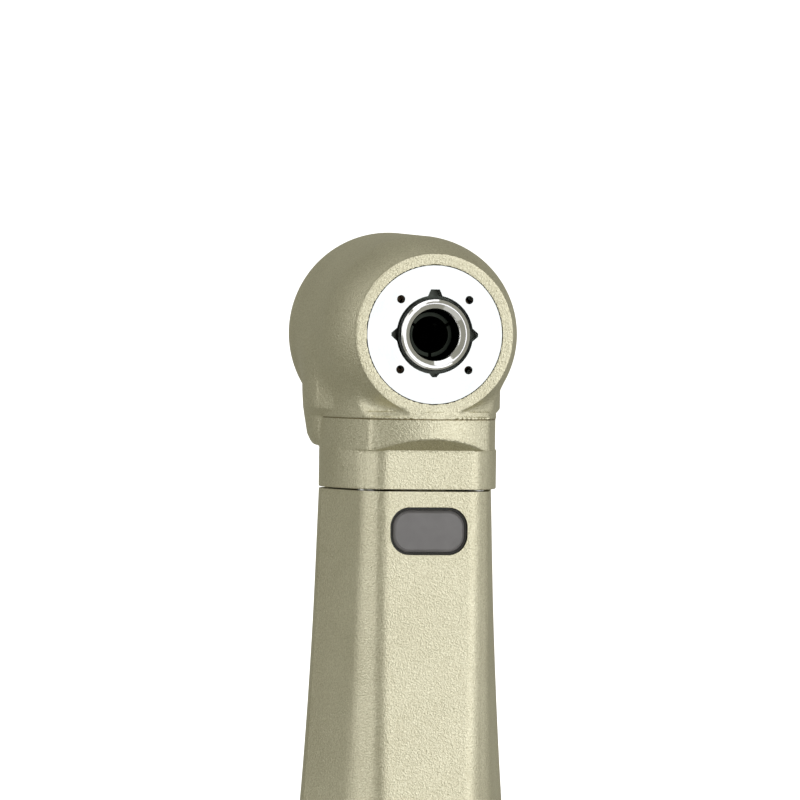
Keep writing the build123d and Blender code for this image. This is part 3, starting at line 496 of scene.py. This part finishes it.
def make_head(material):
    """Head housing's skin, in place of the CAD shape."""
    points, faces = surface_net(head_field, (-4.75, -5.45, -7.05), (4.78, 5.4, 4.8), NET_STEP)
    # x, u, v is left handed, so the faces are turned over
    faces = faces[:, ::-1]
    world = np.array(HEAD_CENTRE) + MM * points @ HEAD_BASIS
    head = mesh_object("head_skin", world, faces, material)
    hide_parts("head_housing")
    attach(head, "body")
    return head


# ---- handle shell as a swept skin ----
# s is the distance along the centre line from the bend, in millimetres: less than 0 in the neck
BEND_Z = 60.0
# (distance below the bend, 0 on the neck side; half width, front, flat half width, chamfer, back)
NECK_STATIONS = (
    (27.05, 3.92, 4.40, 2.20, 0.66, 4.00),
    (20.50, 4.15, 4.42, 2.19, 0.79, 4.15),
    (13.30, 4.58, 4.55, 2.18, 1.02, 4.50),
    (6.50, 5.20, 4.98, 2.30, 1.40, 5.10),
)
BEND_STATION = (6.05, 5.66, 2.60, 1.95, 6.05)
SOFTNESS = (0.26, 0.28, 0.34, 0.6)     # edge rounding of each neck section
GRIP = ((52.0, 7.0), (40.0, 8.15), (26.0, 9.05), (14.0, 9.47), (2.05, 9.6))   # height, radius
NECK_END_S = -27.05                    # the joint under the head
REAR_S = BEND_Z - 2.05                 # the shell's rear end
RING_LOW_S, RING_HIGH_S, RING_SEAT_R = BEND_Z - 7.2, BEND_Z - 6.0, 9.1      # groove of the colour ring
SLEEVE_SEAT_R = 8.42
NECK_BORE_R = 2.3
BLEND_HALF = 7.0                       # the lean changes over this distance on each side of the bend
# turns of the rows' points in degrees: even, with more around the two edges of the chamfers
EVEN_TURNS = [np.linspace(0, 360, 241)[:-1]]
EDGE_TURNS = [(side * edge + np.linspace(-5, 5, 21)) % 360 for edge in (26.5, 38.5) for side in (-1, 1)]
TURNS = np.radians(np.unique(np.round(np.concatenate(EVEN_TURNS + EDGE_TURNS), 3)))


def section_radius(half_w, front, flat_half, chamfer, back, soft):
    """Radius of a neck section at every turn, measured from the front."""
    x, u = np.abs(np.sin(TURNS)), np.cos(TURNS)
    low, high = np.zeros(len(TURNS)), np.full(len(TURNS), 12.0)
    for _ in range(40):
        r = (low + high) / 2
        px, pu = r * x, r * u
        lean = (half_w - flat_half - chamfer) / (front - chamfer)
        norm = math.hypot(1, lean)
        side = np.where(pu > 0, (px + lean * pu - half_w) / norm - 0.02 * pu * (front - chamfer - pu) / front,
                        np.hypot(px, pu * half_w / back) - half_w)
        slope = (px + pu - flat_half - front) * math.sqrt(0.5)
        value = cut(cut(pu - front, slope, soft), side, soft * 0.7)
        low, high = np.where(value < 0, r, low), np.where(value < 0, high, r)
    return r


def spline_rows(keys, rows, where):
    """Rows interpolated between key rows with smooth tangents."""
    keys, rows = np.array(keys, float), np.array(rows)
    slope = np.gradient(rows, keys, axis=0)
    i = np.clip(np.searchsorted(keys, where, side="right") - 1, 0, len(keys) - 2)
    h = (keys[i + 1] - keys[i])[:, None]
    t = ((where - keys[i]) / (keys[i + 1] - keys[i]))[:, None]
    return ((2 * t ** 3 - 3 * t ** 2 + 1) * rows[i] + (t ** 3 - 2 * t ** 2 + t) * h * slope[i]
            + (3 * t ** 2 - 2 * t ** 3) * rows[i + 1] + (t ** 3 - t ** 2) * h * slope[i + 1])


def handle_rows():
    """Distance along the centre line and radius at every turn: down the outside, then back up inside."""
    keys = [-station[0] for station in NECK_STATIONS] + [0.0] + [BEND_Z - z for z, _ in GRIP]
    rows = [section_radius(*station[1:], soft) for station, soft in zip(NECK_STATIONS, SOFTNESS)]
    rows.append(0.45 * section_radius(*BEND_STATION, 1.0) + 0.55 * 6.15)
    rows += [np.full(len(TURNS), r) for _, r in GRIP]
    outer_s = np.concatenate([
        np.linspace(NECK_END_S, -20, 60, endpoint=False),
        np.linspace(-20, 8, 110, endpoint=False),
        np.linspace(8, RING_LOW_S, 80),
    ])
    # a radius of None is the outside's own, and one below 0 is taken off it
    inner_profile = (
        (RING_LOW_S, None), (RING_LOW_S, RING_SEAT_R), (RING_HIGH_S, RING_SEAT_R), (RING_HIGH_S, None),
        (BEND_Z - 4.0, None), (BEND_Z - 2.25, None), (BEND_Z - 2.07, -0.12), (REAR_S, -0.3),
        (REAR_S, SLEEVE_SEAT_R), (BEND_Z - 26, SLEEVE_SEAT_R), (BEND_Z - 26, 8.25), (14, 6.9), (10, 6.6),
        (4, 5.95), (0.6, 5.0), (-0.9, 4.6), (-0.9, 2.8), (-2.9, 2.8), (-2.9, NECK_BORE_R),
        (-28.25, NECK_BORE_R), (-28.25, 2.77), (-27.06, 2.77), (NECK_END_S, 2.80),
    )
    distances = list(outer_s)
    radii = list(spline_rows(keys, rows, outer_s))
    for s, r in inner_profile:
        if r is None:
            row = spline_rows(keys, rows, np.array([s]))[0]
        elif r < 0:
            row = spline_rows(keys, rows, np.array([s]))[0] + r
        else:
            row = np.full(len(TURNS), r)
        distances.append(s)
        radii.append(row)
    return np.array(distances, float), np.array(radii)


def centre_line(s):
    """Y, Z and lean of the handle's centre line at each distance, in millimetres and radians."""
    fine = np.linspace(-30, BEND_Z, 3601)
    blend = np.clip((fine + BLEND_HALF) / (2 * BLEND_HALF), 0, 1)
    lean = HEAD_TILT * (1 - blend * blend * (3 - 2 * blend))
    dy, dz = np.sin(lean), np.cos(lean)
    step = fine[1] - fine[0]
    y = np.concatenate([[0], np.cumsum((dy[1:] + dy[:-1]) / 2 * step)])
    z = np.concatenate([[0], np.cumsum((dz[1:] + dz[:-1]) / 2 * step)])
    row_y, row_z, row_lean = (np.interp(s, fine, a) for a in (y[-1] - y, z[-1] - z, lean))
    # the neck end is put on the true neck axis
    on_neck = s < -BLEND_HALF
    slip_y = (-s * math.sin(HEAD_TILT) - row_y)[on_neck].mean()
    slip_z = (BEND_Z - s * math.cos(HEAD_TILT) - row_z)[on_neck].mean()
    share = 1 - np.clip((s + BLEND_HALF) / (2 * BLEND_HALF), 0, 1)
    return row_y + slip_y * share, row_z + slip_z * share, row_lean


def make_handle(material):
    """Handle shell's skin, in place of the CAD shape: closed rows outside and inside."""
    distances, radius = handle_rows()
    row_y, row_z, row_lean = centre_line(distances)
    x = radius * np.sin(TURNS)[None, :]
    u = radius * np.cos(TURNS)[None, :]
    points = np.stack([x, row_y[:, None] - u * np.cos(row_lean)[:, None],
                       row_z[:, None] + u * np.sin(row_lean)[:, None]], 2)
    count, across = radius.shape
    i, j = np.meshgrid(np.arange(count), np.arange(across), indexing="ij")
    next_i, next_j = (i + 1) % count, (j + 1) % across
    corners = [i * across + j, i * across + next_j, next_i * across + next_j, next_i * across + j]
    faces = np.stack(corners, 2).reshape(-1, 4)
    handle = mesh_object("handle_skin", MM * points.reshape(-1, 3), faces, material)
    carve(handle, window_slug())
    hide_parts("handle_shell")
    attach(handle, "body")
    return handle


def rounded_outline(half_w, half_h, corner, count=12):
    """Corner points of a rounded rectangle."""
    points = []
    for quarter in range(4):
        side_x, side_y = (1, 1, -1, -1)[quarter], (-1, 1, 1, -1)[quarter]
        start = math.radians(-90 + 90 * quarter)
        for i in range(count + 1):
            a = start + math.radians(90) * i / count
            points.append((side_x * (half_w - corner) + corner * math.cos(a),
                           side_y * (half_h - corner) + corner * math.sin(a)))
    return points


def window_slug():
    """Closed cutter for the window's recess."""
    outline = rounded_outline(WINDOW_HALF_W, WINDOW_HALF_H, WINDOW_CORNER)
    bm = bmesh.new()

    def ring(u):
        places = [x * SIDE_AXIS + u * BUR_AXIS + (y + WINDOW_V) * NECK_AXIS for x, y in outline]
        return [bm.verts.new(HEAD_CENTRE + MM * place) for place in places]

    low_ring, high_ring = ring(WINDOW_FLOOR_U), ring(WINDOW_FLOOR_U + 1.5)
    for i in range(len(outline)):
        j = (i + 1) % len(outline)
        bm.faces.new((low_ring[i], low_ring[j], high_ring[j], high_ring[i]))
    bm.faces.new(low_ring[::-1])
    bm.faces.new(high_ring)
    bmesh.ops.recalc_face_normals(bm, faces=bm.faces)
    data = bpy.data.meshes.new("window_slug")
    bm.to_mesh(data)
    bm.free()
    slug = bpy.data.objects.new("window_slug", data)
    bpy.context.collection.objects.link(slug)
    return slug


def carve(target, cutter):
    """Takes the cutter out of the target for good."""
    boolean = target.modifiers.new("carve", "BOOLEAN")
    boolean.operation = "DIFFERENCE"
    boolean.solver = "EXACT"
    boolean.object = cutter
    evaluated = target.evaluated_get(bpy.context.evaluated_depsgraph_get())
    done = bpy.data.meshes.new_from_object(evaluated)
    target.modifiers.clear()
    target.data = done
    bpy.data.objects.remove(cutter)


def make_coil(node, body, centre, axis, sizes):
    """Round-wire spring that shortens towards its fixed end.

    sizes, in millimetres: coil radius, wire radius, fixed end, moving end, number of turns.
    """
    mean_r, wire_r, fixed, moving, turns = sizes
    along = 1 if moving > fixed else -1
    rise = abs(moving - fixed) - 2 * wire_r
    count, around = int(turns * 36) + 1, 12
    side = SIDE_AXIS.cross(axis).normalized()
    points, faces = [], []
    for i in range(count):
        share = i / (count - 1)
        a = 2 * math.pi * turns * share
        out = math.cos(a) * SIDE_AXIS + math.sin(a) * side
        middle = centre + MM * (mean_r * out + (fixed + along * (wire_r + share * rise)) * axis)
        for j in range(around):
            b = 2 * math.pi * j / around
            points.append(middle + MM * wire_r * (math.cos(b) * out + math.sin(b) * axis))
    for i in range(count - 1):
        for j in range(around):
            k = (j + 1) % around
            faces.append((i * around + j, i * around + k, (i + 1) * around + k, (i + 1) * around + j))
    ends = [tuple(range(around))[::-1], tuple(range((count - 1) * around, count * around))]
    data = bpy.data.meshes.new(node + "_coil")
    data.from_pydata(points, [], faces + ends)
    bm = bmesh.new()
    bm.from_mesh(data)
    bmesh.ops.recalc_face_normals(bm, faces=bm.faces)
    bm.to_mesh(data)
    bm.free()
    data.polygons.foreach_set("use_smooth", [True] * len(data.polygons))
    data.materials.append(looks["spring_steel"])
    coil = bpy.data.objects.new(node + "_coil", data)
    bpy.context.collection.objects.link(coil)
    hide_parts(node)
    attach(coil, body)
    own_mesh(coil)
    return coil


make_coil("button_spring", "body", HEAD_CENTRE, BUR_AXIS,
          (2.2, 0.15, -5.22, -7.38, 2.5))
make_coil("collet_spring", "spindle", HEAD_CENTRE, BUR_AXIS,
          (1.22, 0.07, -5.02, -5.98, 2.5))
make_coil("dog_spring", "handle_drive", Vector((0, 0, 0)), Vector((0, 0, 1)),
          (2.1, 0.22, 30.98, 27.22, 3.5))
make_head(champagne_head)
make_handle(champagne)

# ---- camera ----
CAM_YAW = math.radians(13.5)     # from the bur axis towards -X
CAM_RISE = math.radians(0.9)
CAM_ROLL = math.radians(0.75)
CAM_DISTANCE = 0.30
CAM_LENS = 306
AIM_RIGHT, AIM_UP = -1.50, -2.9  # mm from the head's face to the picture's centre


def make_camera():
    """Long lens that looks at the head's face from the bur side."""
    to_camera = (math.cos(CAM_RISE) * (math.cos(CAM_YAW) * BUR_AXIS - math.sin(CAM_YAW) * SIDE_AXIS)
                 + math.sin(CAM_RISE) * NECK_AXIS)
    right = NECK_AXIS.cross(to_camera).normalized()
    up = to_camera.cross(right)
    up_rolled = math.cos(CAM_ROLL) * up - math.sin(CAM_ROLL) * right
    right_rolled = math.cos(CAM_ROLL) * right + math.sin(CAM_ROLL) * up
    aim = HEAD_CENTRE + RIM_U * MM * BUR_AXIS + AIM_RIGHT * MM * right + AIM_UP * MM * up
    data = bpy.data.cameras.new("camera")
    data.lens = CAM_LENS
    data.clip_start = 0.01
    camera = bpy.data.objects.new("camera", data)
    bpy.context.collection.objects.link(camera)
    turn = Matrix((right_rolled, up_rolled, to_camera)).transposed().to_4x4()
    camera.matrix_world = Matrix.Translation(aim + CAM_DISTANCE * to_camera) @ turn
    bpy.context.scene.camera = camera


make_camera()


# ---- floor ----
def make_floor():
    """Plain pale floor that glossy surfaces don't mirror."""
    half = 3.0
    mesh = bpy.data.meshes.new("floor")
    mesh.from_pydata([(-half, -half, 0), (half, -half, 0), (half, half, 0), (-half, half, 0)],
                     [], [(0, 1, 2, 3)])
    floor = bpy.data.objects.new("floor", mesh)
    bpy.context.collection.objects.link(floor)
    m = Nodes("floor")
    m.set(roughness=0.8, base_color=(0.85, 0.85, 0.85, 1))
    m.set(emission_color=(1, 1, 1, 1), emission_strength=0.85)
    mesh.materials.append(m.material)
    floor.visible_glossy = False


make_floor()


# ---- light ----
def around_neck(azimuth, elevation):
    """Direction from the head: azimuth from the bur side towards +X, elevation along the neck's axis."""
    a, e = math.radians(azimuth), math.radians(elevation)
    return math.cos(e) * (math.cos(a) * BUR_AXIS + math.sin(a) * SIDE_AXIS) + math.sin(e) * NECK_AXIS


def softbox(name, azimuth, elevation, distance, width, height, radiance):
    """Rectangular area light that faces the head, sized in metres."""
    data = bpy.data.lights.new(name, "AREA")
    data.shape = "RECTANGLE"
    data.size, data.size_y = width, height
    data.energy = radiance * math.pi * width * height
    light = bpy.data.objects.new(name, data)
    bpy.context.collection.objects.link(light)
    direction = around_neck(azimuth, elevation)
    side = NECK_AXIS.cross(direction).normalized()
    turn = Matrix((side, direction.cross(side), direction)).transposed().to_4x4()
    light.matrix_world = Matrix.Translation(HEAD_CENTRE + distance * direction) @ turn


softbox("key_box", 33, 8, 0.55, 0.72, 0.8, 1.17)
softbox("left_box", -80, 20, 0.5, 0.40, 0.8, 0.95)
softbox("top_box", -20, 75, 0.6, 0.5, 0.5, 1.1)
softbox("low_box", -60, -55, 0.6, 0.5, 0.5, 0.25)
softbox("right_box", 100, 0, 0.5, 0.15, 0.8, 0.8)


def make_world():
    """White to the camera, dim warm grey to everything else."""
    world = bpy.data.worlds.new("world")
    bpy.context.scene.world = world
    world.use_nodes = True
    tree = world.node_tree
    ray = tree.nodes.new("ShaderNodeLightPath")
    pick = tree.nodes.new("ShaderNodeMix")
    pick.data_type = "RGBA"
    pick.inputs["A"].default_value = (0.30, 0.295, 0.24, 1)
    pick.inputs["B"].default_value = (1, 1, 1, 1)
    tree.links.new(ray.outputs["Is Camera Ray"], pick.inputs["Factor"])
    tree.links.new(pick.outputs["Result"], tree.nodes["Background"].inputs["Color"])


make_world()
bpy.context.scene.view_settings.view_transform = "Standard"
